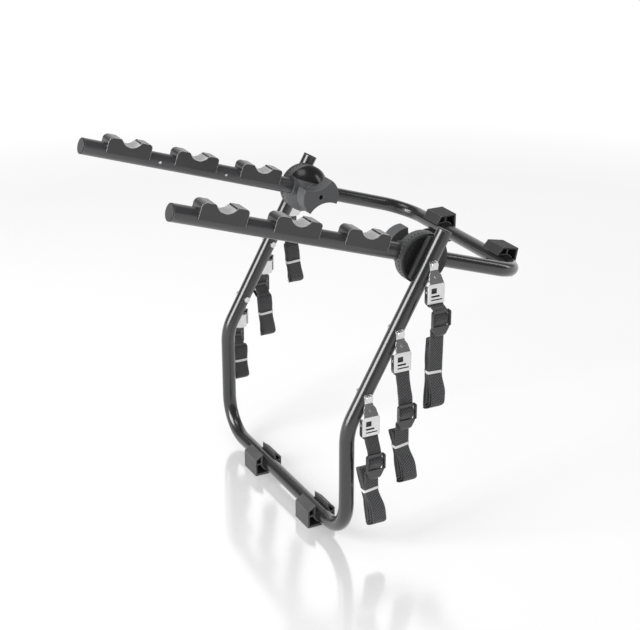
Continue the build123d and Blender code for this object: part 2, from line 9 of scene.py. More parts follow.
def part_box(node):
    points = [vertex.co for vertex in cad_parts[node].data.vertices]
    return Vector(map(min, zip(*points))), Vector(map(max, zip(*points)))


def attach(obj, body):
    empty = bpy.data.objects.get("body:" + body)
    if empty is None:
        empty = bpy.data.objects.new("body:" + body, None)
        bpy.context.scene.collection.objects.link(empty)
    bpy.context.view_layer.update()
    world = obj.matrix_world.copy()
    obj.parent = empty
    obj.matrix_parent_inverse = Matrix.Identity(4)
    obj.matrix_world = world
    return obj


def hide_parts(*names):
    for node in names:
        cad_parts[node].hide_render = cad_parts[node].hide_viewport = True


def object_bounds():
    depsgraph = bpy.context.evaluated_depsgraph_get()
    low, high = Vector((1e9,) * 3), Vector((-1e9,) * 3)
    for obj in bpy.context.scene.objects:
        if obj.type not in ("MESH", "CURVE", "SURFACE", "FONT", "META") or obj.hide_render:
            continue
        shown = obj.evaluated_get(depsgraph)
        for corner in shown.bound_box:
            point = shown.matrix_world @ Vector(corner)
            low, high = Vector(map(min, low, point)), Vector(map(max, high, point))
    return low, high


bl_info = {
    "name": "Trunk mounted bike rack",
    "version": (1, 0, 0),
    "blender": (4, 5, 0),
    "location": "View3D > Sidebar > Bike rack",
    "description": "Dresses a trunk mounted bike rack with its paint, rubber, zinc and webbing",
    "category": "Object",
}

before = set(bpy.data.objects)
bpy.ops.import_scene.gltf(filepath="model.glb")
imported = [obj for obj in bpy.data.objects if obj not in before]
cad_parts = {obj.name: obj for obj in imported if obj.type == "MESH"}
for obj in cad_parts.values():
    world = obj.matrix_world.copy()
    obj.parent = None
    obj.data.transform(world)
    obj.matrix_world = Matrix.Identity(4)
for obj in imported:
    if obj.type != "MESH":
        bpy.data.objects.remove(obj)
CAD_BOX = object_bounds()
MM = 0.001
STRAPS = sorted(n.removeprefix("strap_webbing_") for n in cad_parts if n.startswith("strap_webbing_"))

# Camera of the photograph: place in metres, turns in degrees, lens and sensor in millimetres
CAMERA_PLACE = (-1.2025, -2.1746, 0.8485)
CAMERA_AZIMUTH = -27.41
CAMERA_ELEVATION = 22.46
CAMERA_LENS = 85.23
SENSOR_WIDTH = 36.0

# Soft boxes: name, then place, the point it looks at, and width and height in metres, then watts
LAMPS = (
    ("key", (-2.15, -0.15, 0.75), (-0.1, -0.1, -0.15), (1.3, 1.5), 56),
    ("top", (-0.2, -0.3, 2.5), (-0.1, 0, -0.1), (1.2, 1.2), 12),
    ("side", (2.3, -0.6, 0.9), (0, 0, -0.1), (0.4, 1.2), 7),
)

# Studio floor, in metres: half its side, its gap below the rack, and where it starts to turn pure white, with
# how fast it does
FLOOR_HALF = 30.0
FLOOR_GAP = 0.5 * MM
FLOOR_WHITE_FROM = 0.8
FLOOR_WHITE_RISE = 0.6

# Its own glow and gloss, as shares, and how both change up to this far from the lower crossbar: less glow
# there is a painted shadow, and more gloss a reflection
FLOOR_GLOW = 0.64
FLOOR_PAINTED_SHADOW = 0.30
FLOOR_GLOSS = 0.04
FLOOR_GLOSS_GAIN = 0.36
FLOOR_SHADOW_AND_REFLECTION_REACH = 0.45

# The studio that mirror rays see: the level direction to the backdrop, how narrow and how high it is, and the
# light of its parts; every other ray but the camera's meets the even light
BACKDROP = (0.46, 0.888)
BACKDROP_NARROW = 0.72
BACKDROP_TOP = 0.78
HORIZON_TOP = 0.15
CEILING_LIGHT = 0.18
WALL_LIGHT = 0.80
EVEN_LIGHT = 0.50

# The hubs' faces, out from the middle of the rack or from the fold axis: the holder stands round the arm, the
# domed back is polished above it, and the dish is polished on the outer side
ARM_PLANE = 197.0 * MM
ARM_TILT = 18.0
HOLDER_RADIUS = 18.3 * MM
HOLDER_SKIN = 0.6 * MM
HOLDER_TOP = 16.5 * MM
DOME_END = 198.5 * MM
BOLT_SEAT_RADIUS = 15.8 * MM
DISH_START = 215.5 * MM
DISH_END = 220.5 * MM
DISH_RADIUS = 40.5 * MM

# How much lighter or darker than its base colour each group of pieces is
ARM_SHADE = 3.2
HOOK_SHADE = 2.8
DISH_SHADE = 0.5
CRADLE_SHADE = 0.6
UPPER_PAD_SHADE = 1.3
# The lower pads are the pad rubber made lighter, a lit copy of it: painted light
LOWER_PAD_PAINTED_LIGHT = 3.4

# The painted edge highlight starts where an edge's rounded normal leaves the flat one by this cosine, and
# rises this fast
HIGHLIGHT_START = 0.95
HIGHLIGHT_RISE = 5.0

# An edge whose rounded normal points lower than this gets no painted highlight; a normal never points below
# the first
EVERY_EDGE = -2.0
NOT_THE_UNDERSIDE = -0.28

# Scale of a grain along each axis: squeezed up the zinc plates, and drawn out along the extruded pads
ROLLED = (1.0, 1.0, 14.0)
EXTRUDED = (1.0, 0.04, 1.0)

# Herringbone webbing: its columns, slanted ribs, yarns and picks, its middle, and where the selvedge begins
WEAVE_COLUMN = 6.35 * MM
WEAVE_RIB = 4.6 * MM
WEAVE_YARN = 1.1 * MM
WEAVE_PICK = 1.2 * MM
WEAVE_MIDDLE = 12.7 * MM
SELVEDGE = 11.2 * MM
TIE_RIB = 1.1 * MM

# On each buckle: the strap plane lies this far inside it, and the bolt this far below its top
PLATE_GAP = 0.1 * MM
BOLT_DROP = 7.5 * MM

# How each strap's webbing is rolled: the roll's top below the bolt, and its lean in degrees
ROLLS = {
    "near_1": (118 * MM, 8.0), "near_2": (165 * MM, 8.0), "near_3": (122 * MM, -2.0),
    "far_1": (104 * MM, 1.0), "far_2": (110 * MM, 3.0), "far_3": (122 * MM, 5.0),
}

# Path of the webbing: flat in the buckle, clear below it, out from the hook to the roll, and the loose end
FLAT_IN_BUCKLE = 8 * MM
BELOW_BUCKLE = 1.5 * MM
TURN_OUT = 7 * MM
TURNED_OUT = 12 * MM
LOOP_CLEARANCE = 0.9 * MM
LOOSE_END = 9 * MM
LOOP_POINTS = 10
CORNER_ROUNDS = 3

# How a roll opens below and above its tie: over what height, and its thickness at the tie and the gain, as
# shares; the layers nearer its middle than the still share slide the other way
OPEN_BELOW, OPEN_ABOVE = 42 * MM, 22 * MM
TIED_BELOW, TIED_ABOVE = 0.92, 0.96
GAIN_BELOW, GAIN_ABOVE = 0.50, 0.22
STILL_LAYERS = 0.25
LEAN_ABOVE = 1.6

# Faces across the webbing, its thinner edges, its hollow, and the lengths over which it comes free to wave
COLUMNS = 8
EDGE_THINNING = 0.45
CUP_DEPTH = 0.25 * MM
CUP_MIDDLE = 0.3
FREE_LENGTH = 20 * MM
LOOSE_LENGTH = 50 * MM

# Unevenness of the webbing: waves per metre and the noise layer that each is read from
SWAY_RATE, SWAY_LAYERS = 9, 0.7
WAVE, WAVE_DEPTH = (60, 4), 0.35 * MM
RIPPLE = (55, 9)
TWIST, TWIST_SHARE = (34, 2), 1.6
STRAP_SEED = 7.3

# Line of a tie: its points, squareness and unevenness, and the room it leaves round the roll
TIE_POINTS = 72
TIE_SQUARE_ACROSS, TIE_SQUARE_OUT = 0.30, 0.42
TIE_UNEVEN, TIE_RATE, TIE_SEED = 0.7 * MM, 1.3, 3.1
TIE_GAP = 0.1 * MM
TIE_SIDE_GAP = 0.5 * MM
TIE_INNER_GAP = 0.6 * MM
TIE_CORNER_POINTS = 3


def length_property(name, description, size):
    """A length that a user may change, given in millimetres."""
    return bpy.props.FloatProperty(name=name, description=description, default=size * MM, unit="LENGTH")


def colour_property(name, description, *levels):
    """A colour that a user may change."""
    return bpy.props.FloatVectorProperty(name=name, description=description, default=levels, subtype="COLOR")


class WebbingSizes(bpy.types.PropertyGroup):
    """Sizes of the strap webbing and its ties, and how the webbing is threaded and rolled."""

    width: length_property("Width", "Width of the webbing", 25.4)
    thickness: length_property("Thickness", "Thickness of the webbing", 1.4)
    out: length_property("Out", "Place in the buckle, out from the strap plane", 9.8)
    hook_out: length_property("Hook out", "Middle of the hook plate, out from the strap plane", 26)
    thread: length_property("Thread", "Offset either side of the hook plate", 2.3)
    bar: length_property("Bar", "Height of a hook bar", 5)
    slot: length_property("Slot", "Height of a hook slot", 9)
    pitch: length_property("Pitch", "Spacing of the roll's layers", 2.4)
    turns: bpy.props.IntProperty(name="Turns", description="Turns of the roll", default=3)
    centre: length_property("Centre", "Middle of the roll, out from the strap plane", 7.4)
    step: length_property("Step", "Spacing of points along the webbing", 2.5)
    sway: length_property("Sway", "How far layers lie out of line", 2.0)
    fan: length_property("Fan", "How far the outer layers slide sideways below the tie", 9)
    loop_depth: bpy.props.FloatProperty(
        name="Loop depth", description="Height of a loop over its radius", default=1.7)
    ripple: length_property("Ripple", "Waves of the webbing between buckle and hook", 2.4)
    tie_height: length_property("Tie height", "Height of the white tie", 4.8)
    tie_thickness: length_property("Tie thickness", "Thickness of the white tie", 0.9)
    tie_corner: length_property("Tie corner", "Radius of the white tie's edges", 0.35)


class FinishColours(bpy.types.PropertyGroup):
    """Base colours of the finishes, and the paler colours of the painted highlights along their edges."""

    paint: colour_property("Paint", "Satin black paint", 0.012, 0.012, 0.013)
    plastic: colour_property("Hub plastic", "Dark grey moulded plastic", 0.080, 0.081, 0.084)
    # Colour of the painted highlight along the knobs' edges
    knob_highlight: colour_property("Knob edge", "Rubbed edges of the knobs", 0.5, 0.5, 0.5)
    polished: colour_property("Polished", "Polished black faces of the hubs", 0.012, 0.012, 0.013)
    rubber: colour_property("Rubber", "Black rubber", 0.018, 0.018, 0.018)
    # Colour of the painted highlight along the rubber's edges that don't face down
    rubber_highlight: colour_property("Rubber edge", "Pale edges of the rubber", 0.85, 0.85, 0.85)
    # The liner's grey is partly its own colour and partly painted highlight, paler than the liner itself
    liner: colour_property("Liner", "Smooth liner in the cradles", 0.42, 0.42, 0.43)
    # Colour of the painted highlight along the liners' edges
    liner_highlight: colour_property("Liner edge", "Rubbed edges of the liners", 0.92, 0.92, 0.92)
    cap: colour_property("Cap", "Gloss black end caps", 0.008, 0.008, 0.008)
    # Colour of the painted highlight round the end caps' rims
    cap_rim_highlight: colour_property("Cap rim", "Bright rim round the end caps", 0.8, 0.8, 0.8)
    zinc: colour_property("Zinc", "Bright zinc plate", 0.80, 0.80, 0.81)
    thread: colour_property("Thread", "Black polyester yarn", 0.014, 0.014, 0.015)
    tie: colour_property("Tie", "White tie", 0.86, 0.86, 0.85)
    floor: colour_property("Floor", "Studio floor", 0.93, 0.93, 0.93)


class Socket:
    """An output socket whose arithmetic adds Math nodes."""

    def __init__(self, maker, socket):
        self.maker = maker
        self.socket = socket

    def _math(self, operation, other=None, swap=False):
        values = [self, other] if other is not None else [self]
        return self.maker.math(operation, *(reversed(values) if swap else values))

    def __add__(self, other):
        return self._math("ADD", other)

    def __radd__(self, other):
        return self._math("ADD", other)

    def __sub__(self, other):
        return self._math("SUBTRACT", other)

    def __rsub__(self, other):
        return self._math("SUBTRACT", other, swap=True)

    def __mul__(self, other):
        return self._math("MULTIPLY", other)

    def __rmul__(self, other):
        return self._math("MULTIPLY", other)

    def __truediv__(self, other):
        return self._math("DIVIDE", other)

    def __pow__(self, other):
        return self._math("POWER", other)

    def __abs__(self):
        return self._math("ABSOLUTE")

    def fraction(self):
        return self._math("FRACT")

    def above(self, other):
        return self._math("GREATER_THAN", other)

    def below(self, other):
        return self._math("LESS_THAN", other)

    def at_most(self, other):
        return self._math("MINIMUM", other)

    def at_least(self, other):
        return self._math("MAXIMUM", other)

    def clamped(self):
        """Kept between 0 and 1."""
        return self.at_least(0.0).at_most(1.0)

    def wave(self, spacing):
        """Sine wave of one spacing, from -1 to 1."""
        return ((self / spacing) * (2 * math.pi))._math("SINE")


class Finish:
    """The nodes of a material or world under construction."""

    def __init__(self, owner, output="ShaderNodeOutputMaterial"):
        self.owner = owner
        owner.use_nodes = True
        self.tree = owner.node_tree
        self.tree.nodes.clear()
        self.output = self.tree.nodes.new(output)

    def node(self, kind, settings=None, out=0, **values):
        """Add a node: its settings are set first, then the values or links of its sockets."""
        node = self.tree.nodes.new(kind)
        for key, value in (settings or {}).items():
            setattr(node, key, value)
        for key, value in values.items():
            self.feed(self.inlet(node, key), value)
        return Socket(self, node.outputs[out])

    def inlet(self, node, key):
        """A node's input by its name, with underscores for spaces, or by its number, such as i0."""
        if key[1:].isdigit():
            return node.inputs[int(key[1:])]
        return node.inputs[key.replace("_", " ")]

    def feed(self, socket, value):
        """Link or set one socket."""
        if isinstance(value, Socket):
            self.tree.links.new(value.socket, socket)
        elif socket.type == "RGBA":
            socket.default_value = (*value[:3], 1.0)
        else:
            socket.default_value = value

    def math(self, operation, *values):
        """Add a Math node on one or two values."""
        inputs = {f"i{i}": value for i, value in enumerate(values)}
        return self.node("ShaderNodeMath", {"operation": operation}, **inputs)

    def mix(self, factor, one, two):
        """Mix two colours."""
        return self.node("ShaderNodeMix", {"data_type": "RGBA"}, out=2, i0=factor, i6=one, i7=two)

    def place(self):
        """Object coordinates."""
        return self.node("ShaderNodeTexCoord", out=3)

    def weave_map(self):
        """The piece's own UV map, in metres."""
        return self.node("ShaderNodeUVMap", {"uv_map": "weave"})

    def axes(self, vector):
        """The three numbers of a vector."""
        node = self.node("ShaderNodeSeparateXYZ", i0=vector).socket.node
        return [Socket(self, node.outputs[i]) for i in range(3)]

    def rays(self):
        """Whether a ray comes from the camera, from a mirror or through glass."""
        node = self.node("ShaderNodeLightPath").socket.node
        return [Socket(self, node.outputs[f"Is {kind} Ray"]) for kind in ("Camera", "Glossy", "Transmission")]

    def noise(self, vector, scale, detail=3.0, roughness=0.55):
        """Fractal noise from 0 to 1."""
        return self.node("ShaderNodeTexNoise", Vector=vector, Scale=scale, Detail=detail, Roughness=roughness)

    def stretched(self, vector, scale):
        """Coordinates scaled along each axis."""
        return self.node("ShaderNodeMapping", Vector=vector, Scale=scale)

    def soft_edge(self, radius):
        """Normal of edges rounded over a small radius."""
        return self.node("ShaderNodeBevel", {"samples": 4}, Radius=radius)

    def bump(self, height, strength, distance, **normal):
        """Normal of a small relief, on top of another Normal if one is given."""
        return self.node("ShaderNodeBump", Height=height, Strength=strength, Distance=distance, **normal)

    def edge_highlight_mask(self, radius, lowest=EVERY_EDGE):
        """Painted highlight along edges, from 0 to 1, where the rounded normal's Z in object space is above
        the lowest.
        """
        flat = self.node("ShaderNodeNewGeometry", out=3)
        rounded = self.soft_edge(radius)
        kept = self.node("ShaderNodeVectorMath", {"operation": "DOT_PRODUCT"}, out=1, i0=rounded, i1=flat)
        to_object = {"vector_type": "NORMAL", "convert_from": "WORLD", "convert_to": "OBJECT"}
        own = self.node("ShaderNodeVectorTransform", to_object, Vector=rounded)
        upward = self.axes(own)[2].above(lowest)
        return ((HIGHLIGHT_START - kept) * HIGHLIGHT_RISE).clamped() * upward

    def rub_marks(self, vector, scale, amount):
        """Sparse rub marks, from 0 to 1."""
        return ((self.noise(vector, scale, detail=5.0, roughness=0.7) - (1 - amount)) * 8.0).clamped()

    def surface(self, **values):
        """Finish a material with one Principled shader."""
        return self.end(self.node("ShaderNodeBsdfPrincipled", **values))

    def end(self, shader):
        """Link the last shader to the output."""
        self.tree.links.new(shader.socket, self.output.inputs["Surface"])
        return self.owner


def shade(colour, times):
    """A colour made lighter or darker."""
    return [c * times for c in colour]


def reach(one, two):
    """Distance from two sockets' distances along square axes."""
    return (one * one + two * two) ** 0.5


def painted_steel(name, colour, gloss=0.22, peel=0.05, coat=0.6):
    """Satin powder coat with fine orange peel and faint rub marks."""
    f = Finish(bpy.data.materials.new(name))
    at = f.place()
    broad = f.noise(at, scale=9.0)
    fine = f.noise(at, scale=900.0, detail=2.0)
    rub = f.rub_marks(at, scale=60.0, amount=0.34)
    normal = f.bump(fine + broad * 0.2, strength=peel, distance=0.2 * MM, Normal=f.soft_edge(0.4 * MM))
    return f.surface(Base_Color=f.mix(rub * 0.25, colour, shade(colour, 2.2)),
                     Roughness=gloss + broad * 0.08 + rub * 0.12, Normal=normal,
                     IOR=1.6, Coat_Weight=coat, Coat_Roughness=0.19)


def end_cap(name, colour, rim):
    """Gloss black cap with a painted highlight in a ring along its rim."""
    f = Finish(bpy.data.materials.new(name))
    at = f.place()
    broad = f.noise(at, scale=60.0)
    grain = f.noise(at, scale=1200.0, detail=2.0)
    normal = f.bump(grain, strength=0.10, distance=0.2 * MM, Normal=f.soft_edge(0.6 * MM))
    tone = f.mix(broad, colour, shade(colour, 2.4))
    # Painted highlight along every edge, in the rim colour
    return f.surface(Base_Color=f.mix(f.edge_highlight_mask(1.0 * MM), tone, rim), Roughness=0.34 + broad * 0.08,
                     Normal=normal)


def moulded_plastic(name, colour, edge, roughness=0.48, highlight_share=0.35):
    """Fine spark-eroded grain, slightly polished on its high spots, with a painted highlight along its edges.
    """
    f = Finish(bpy.data.materials.new(name))
    at = f.place()
    broad = f.noise(at, scale=25.0)
    grain = f.noise(at, scale=1500.0, detail=2.0)
    rub = f.rub_marks(at, scale=90.0, amount=0.36)
    normal = f.bump(grain, strength=0.22, distance=0.3 * MM, Normal=f.soft_edge(0.7 * MM))
    tone = f.mix(broad, shade(colour, 0.86), shade(colour, 1.14))
    tone = f.mix(rub * 0.3, tone, shade(colour, 1.7))
    # Painted highlight along the edges, mixed in by the highlight share
    return f.surface(Base_Color=f.mix(f.edge_highlight_mask(1.2 * MM) * highlight_share, tone, edge),
                     Roughness=roughness + broad * 0.10 - rub * 0.12, Normal=normal)


def hub_plastic(name, colour, polished_black):
    """Grey moulding whose dome above the arm, or whose dish, is polished black."""
    f = Finish(bpy.data.materials.new(name))
    at = f.place()
    x, y, z = f.axes(at)
    radius = reach(x, z)
    side = abs(y)
    tilt = math.radians(ARM_TILT)
    above_arm = x * math.sin(tilt) + z * math.cos(tilt)
    from_arm = reach(above_arm, side - ARM_PLANE)
    on_holder = abs(from_arm - HOLDER_RADIUS).below(HOLDER_SKIN)
    dome = (side.below(DOME_END) * radius.above(BOLT_SEAT_RADIUS) * (1 - on_holder)
            * above_arm.above(HOLDER_TOP))
    dish = side.above(DISH_START) * side.below(DISH_END) * radius.below(DISH_RADIUS)
    polished = (dome + dish).at_most(1.0)
    grain = f.noise(at, scale=1500.0, detail=2.0)
    broad = f.noise(at, scale=30.0)
    relief = grain * (1 - polished * 0.85)
    normal = f.bump(relief, strength=0.22, distance=0.3 * MM, Normal=f.soft_edge(0.6 * MM))
    body = f.mix(broad, shade(colour, 0.85), shade(colour, 1.15))
    # Painted highlight along the edges, in a paler grey
    highlight_share = f.edge_highlight_mask(0.7 * MM) * 0.5
    return f.surface(Base_Color=f.mix(highlight_share, f.mix(polished, body, polished_black), shade(colour, 3.0)),
                     Roughness=0.46 + broad * 0.1 - polished * 0.27, Normal=normal)


def rubber(name, colour, edge, roughness, highlight_share, shine=0.0, along=None):
    """Black rubber with bloom and a painted highlight along its edges that don't face down; extruded rubber
    also has fine lines along its length.
    """
    f = Finish(bpy.data.materials.new(name))
    at = f.place()
    broad = f.noise(at, scale=40.0)
    grain = f.noise(at, scale=1100.0, detail=2.0)
    if along is not None:
        grain = grain * 0.4 + f.noise(f.stretched(at, along), scale=700.0, detail=2.0)
    normal = f.bump(grain, strength=0.25, distance=0.3 * MM, Normal=f.soft_edge(0.6 * MM))
    tone = f.mix(broad, shade(colour, 0.8), shade(colour, 1.5))
    # Painted highlight along the edges that don't face down, made uneven by the broad noise
    painted_highlight = f.edge_highlight_mask(1.6 * MM, NOT_THE_UNDERSIDE) * (0.6 + broad * 0.8)
    return f.surface(Base_Color=f.mix(painted_highlight * highlight_share, tone, edge), Roughness=roughness + broad * 0.12,
                     Normal=normal, Coat_Weight=shine, Coat_Roughness=0.25)


def zinc_plate(name, colour):
    """Bright zinc on pressed steel: rolled grain, clouding and small scuffs."""
    f = Finish(bpy.data.materials.new(name))
    at = f.place()
    cloud = f.noise(at, scale=70.0)
    grain = f.noise(f.stretched(at, ROLLED), scale=160.0, detail=4.0)
    scuff = f.rub_marks(at, scale=350.0, amount=0.38)
    normal = f.bump(grain * 0.5 + scuff * 0.5, strength=0.12, distance=0.2 * MM, Normal=f.soft_edge(0.4 * MM))
    tone = f.mix(cloud, shade(colour, 0.78), colour)
    return f.surface(Base_Color=f.mix(scuff * 0.4, tone, shade(colour, 0.55)), Metallic=1.0,
                     Roughness=0.16 + cloud * 0.10 + grain * 0.08 + scuff * 0.2, Normal=normal)


def woven(name, colour):
    """Herringbone webbing with a plain selvedge, from the webbing's own map in metres."""
    f = Finish(bpy.data.materials.new(name))
    across, along, _ = f.axes(f.weave_map())
    column = (across / WEAVE_COLUMN).fraction()
    zigzag = abs(column - 0.5) * WEAVE_COLUMN
    twill = (along + across * 0.75 + zigzag * 0.25).wave(WEAVE_RIB) * 0.5 + 0.5
    twill = twill * twill * 1.15
    yarn = across.wave(WEAVE_YARN) * 0.5 + 0.5
    pick = along.wave(WEAVE_PICK) * 0.5 + 0.5
    selvedge = abs(across - WEAVE_MIDDLE).above(SELVEDGE)
    rib = twill * 0.72 + yarn * 0.12 + pick * 0.16
    height = rib * (1 - selvedge) + (0.45 + pick * 0.35) * selvedge
    fuzz = f.noise(f.place(), scale=1800.0, detail=2.0)
    tone = f.mix(height * 0.8 + fuzz * 0.2, shade(colour, 0.08), shade(colour, 7.5))
    normal = f.bump(height + fuzz * 0.25, strength=0.9, distance=0.9 * MM)
    return f.surface(Base_Color=tone, Roughness=0.72 - height * 0.24, Normal=normal, Sheen_Weight=0.25,
                     Sheen_Roughness=0.5)


def white_tie(name, colour):
    """Ribbed white tie with a few grey smudges."""
    f = Finish(bpy.data.materials.new(name))
    at = f.place()
    rib = f.axes(at)[2].wave(TIE_RIB)
    smudge = f.noise(at, scale=180.0)
    return f.surface(Base_Color=f.mix(smudge * 0.35, colour, shade(colour, 0.72)),
                     Roughness=0.5 + smudge * 0.1, Normal=f.bump(rib, strength=0.2, distance=0.2 * MM))


def studio_floor(name, colour):
    """Pale floor that camera and mirror rays see white, with the shadow, a painted shadow by the lower
    crossbar, and a reflection near the rack.
    """
    pad_low, pad_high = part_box("lower_pad_near")
    bar_x, bar_end = (pad_low[0] + pad_high[0]) / 2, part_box("lower_frame_tube")[1][1]
    f = Finish(bpy.data.materials.new(name))
    camera, glossy, transmission = f.rays()
    seen = (camera + glossy + transmission).at_most(1.0)
    x, y, _ = f.axes(f.place())
    far = ((reach(x, y) - FLOOR_WHITE_FROM) * FLOOR_WHITE_RISE).clamped()
    away = reach(x - bar_x, (abs(y) - bar_end).at_least(0.0))
    near = (1 - away / FLOOR_SHADOW_AND_REFLECTION_REACH).at_least(0.0)
    lit = f.node("ShaderNodeBsdfDiffuse", Color=colour, Roughness=0.5)
    shine = f.node("ShaderNodeBsdfGlossy", Color=(0.98, 0.98, 0.98), Roughness=0.13)
    glow = f.node("ShaderNodeEmission", Color=(1.0, 1.0, 1.0), Strength=1.0)
    # Less glow near the lower crossbar darkens the floor round it: painted shadow on top of the rendered one
    glowing = seen * (FLOOR_GLOW - near * FLOOR_PAINTED_SHADOW).at_least(far)
    glossed = camera * (FLOOR_GLOSS + near * FLOOR_GLOSS_GAIN) * (1 - far)
    base = f.node("ShaderNodeMixShader", i0=glowing, i1=lit, i2=glow)
    return f.end(f.node("ShaderNodeMixShader", i0=glossed, i1=base, i2=shine))


def studio_world():
    """White at the horizon and behind the rack, dark overhead, for mirror rays; even light for the rest."""
    f = Finish(bpy.data.worlds.new("studio"), "ShaderNodeOutputWorld")
    x, y, z = f.axes(f.node("ShaderNodeTexCoord", out=0))
    facing = (x * BACKDROP[0] + y * BACKDROP[1]) / (reach(x, y) + 0.001)
    behind = ((facing - BACKDROP_NARROW) * 6.0).clamped()
    horizon = ((HORIZON_TOP - z) * 9.0).clamped()
    backdrop = behind * ((BACKDROP_TOP - z) * 5.0).clamped()
    sky = horizon.at_least(backdrop) * WALL_LIGHT + CEILING_LIGHT
    camera, glossy, transmission = f.rays()
    mirror = (glossy + transmission).at_most(1.0)
    level = mirror * sky + camera + (1 - mirror) * (1 - camera) * EVEN_LIGHT
    return f.end(f.node("ShaderNodeBackground", Color=(1.0, 1.0, 1.0), Strength=level))


def dress_like(material, *starts):
    """Give one finish to every carried-over node whose name starts with one of the words."""
    nodes = [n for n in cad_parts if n.startswith(starts)]
    if not nodes:
        raise RuntimeError(f"no node for {material.name}")
    for node in nodes:
        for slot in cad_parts[node].material_slots:
            slot.link = "OBJECT"
            slot.material = material


class Strap:
    """Places of one strap, read from its own nodes."""

    def __init__(self, name):
        self.name = name
        low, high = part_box(f"strap_buckle_{name}")
        self.side = 1 if low[1] > 0 else -1
        self.plane = min(abs(low[1]), abs(high[1])) - PLATE_GAP
        self.x = (low[0] + high[0]) / 2
        self.bolt = high[2] - BOLT_DROP
        self.buckle_bottom = low[2]
        self.hook_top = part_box(f"strap_hook_{name}")[1][2]
        web_low, web_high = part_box(f"strap_webbing_{name}")
        self.top, self.bottom = web_high[2], web_low[2]
        tie_low, tie_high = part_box(f"strap_tie_{name}")
        self.tie = (tie_low[2] + tie_high[2]) / 2

    def point(self, x, out, z):
        """Point from x along the width, distance outside the strap plane and height."""
        return Vector((self.x + x, self.side * (self.plane + out), z))


def smoothed(points, rounds):
    """Cut the corners of an open line of 2-D points."""
    for _ in range(rounds):
        cut = [points[0]]
        for a, b in zip(points, points[1:]):
            cut += [a.lerp(b, 0.25), a.lerp(b, 0.75)]
        points = cut + [points[-1]]
    return points


def webbing_line(strap, sizes):
    """The webbing's middle line as (out, height, layer): buckle, hook and feed (layer 0), then the roll."""
    back, front = sizes.hook_out - sizes.thread, sizes.hook_out + sizes.thread
    top, spacing = strap.hook_top, sizes.bar + sizes.slot
    last_slot = top - 2 * spacing
    feed = sizes.centre + sizes.turns * sizes.pitch
    corners = [
        (sizes.out, strap.top), (sizes.out, strap.top - FLAT_IN_BUCKLE),
        (sizes.out, strap.buckle_bottom - BELOW_BUCKLE),
        (back, top), (back, top - sizes.bar), (front, top - spacing), (front, top - spacing - sizes.bar),
        (back, last_slot), (feed, last_slot - TURN_OUT), (feed, last_slot - TURNED_OUT),
    ]
    line = [Vector((*point, 0)) for point in smoothed([Vector(c) for c in corners], CORNER_ROUNDS)]
    low = strap.bottom + (sizes.turns - 0.5) * sizes.pitch * sizes.loop_depth + LOOP_CLEARANCE
    high = strap.bolt - ROLLS[strap.name][0] - (sizes.turns - 1) * sizes.pitch - LOOP_CLEARANCE
    line.append(Vector((feed, low, 0)))
    return line + roll_line(sizes, low, high)


def roll_line(sizes, low, high):
    """The roll as (out, height, layer): half loops at its bottom and top, with a layer after each."""
    line, here = [], sizes.turns
    last = 2 * sizes.turns - 2
    for layer in range(last + 1):
        at_bottom = layer % 2 == 0
        there = -(abs(here) - 1) if at_bottom else -here
        level, depth = (low, -sizes.loop_depth) if at_bottom else (high, 1)
        start, end = sizes.centre + here * sizes.pitch, sizes.centre + there * sizes.pitch
        middle, radius = (start + end) / 2, (start - end) / 2
        for i in range(1, LOOP_POINTS + 1):
            turn = math.pi * i / LOOP_POINTS
            out = middle + radius * math.cos(turn)
            height = level + depth * abs(radius) * math.sin(turn)
            line.append(Vector((out, height, layer + i / LOOP_POINTS)))
        goal = high if at_bottom else low
        if layer == last:
            goal = high - LOOSE_END
        line.append(Vector((end, goal, layer + 1)))
        here = there
    return line


def resampled(line, step):
    """Points about one step apart along a line, its own points kept, with the distance to each."""
    points, run, travelled = [line[0]], [0.0], 0.0
    for a, b in zip(line, line[1:]):
        length = (b - a).xy.length
        count = max(1, round(length / step))
        for i in range(1, count + 1):
            points.append(a.lerp(b, i / count))
            run.append(travelled + length * i / count)
        travelled += length
    return points, run


def opened(distance, height):
    """How far a roll has opened at a distance from its tie, from 0 to 1."""
    return math.sin(min(1.0, distance / height) * math.pi / 2) ** 2


def settled(place, strap, sizes):
    """How far a point of the webbing rests sideways and outwards: a roll leans, and its tie draws it in."""
    out, height, layer = place
    lean = math.tan(math.radians(ROLLS[strap.name][1]))
    feed = sizes.centre + sizes.turns * sizes.pitch
    drop = strap.tie - height
    if drop > 0:
        opening = opened(drop, OPEN_BELOW)
        rank = min(1.0, abs(out - sizes.centre) / (sizes.turns * sizes.pitch))
        slide = sizes.fan * opening * (rank - STILL_LAYERS)
        return drop * lean + slide, sizes.centre + (out - sizes.centre) * (TIED_BELOW + GAIN_BELOW * opening)
    if layer == 0:
        return 0.0, out
    spread = TIED_ABOVE + GAIN_ABOVE * opened(-drop, OPEN_ABOVE)
    return drop * lean * LEAN_ABOVE, feed - (feed - out) * spread


def wander(travelled, seed, waves):
    """Noise from -1 to 1 along the webbing, from its waves per metre and its noise layer."""
    rate, layer = waves
    return noise.noise(Vector((travelled * rate, seed, layer)))


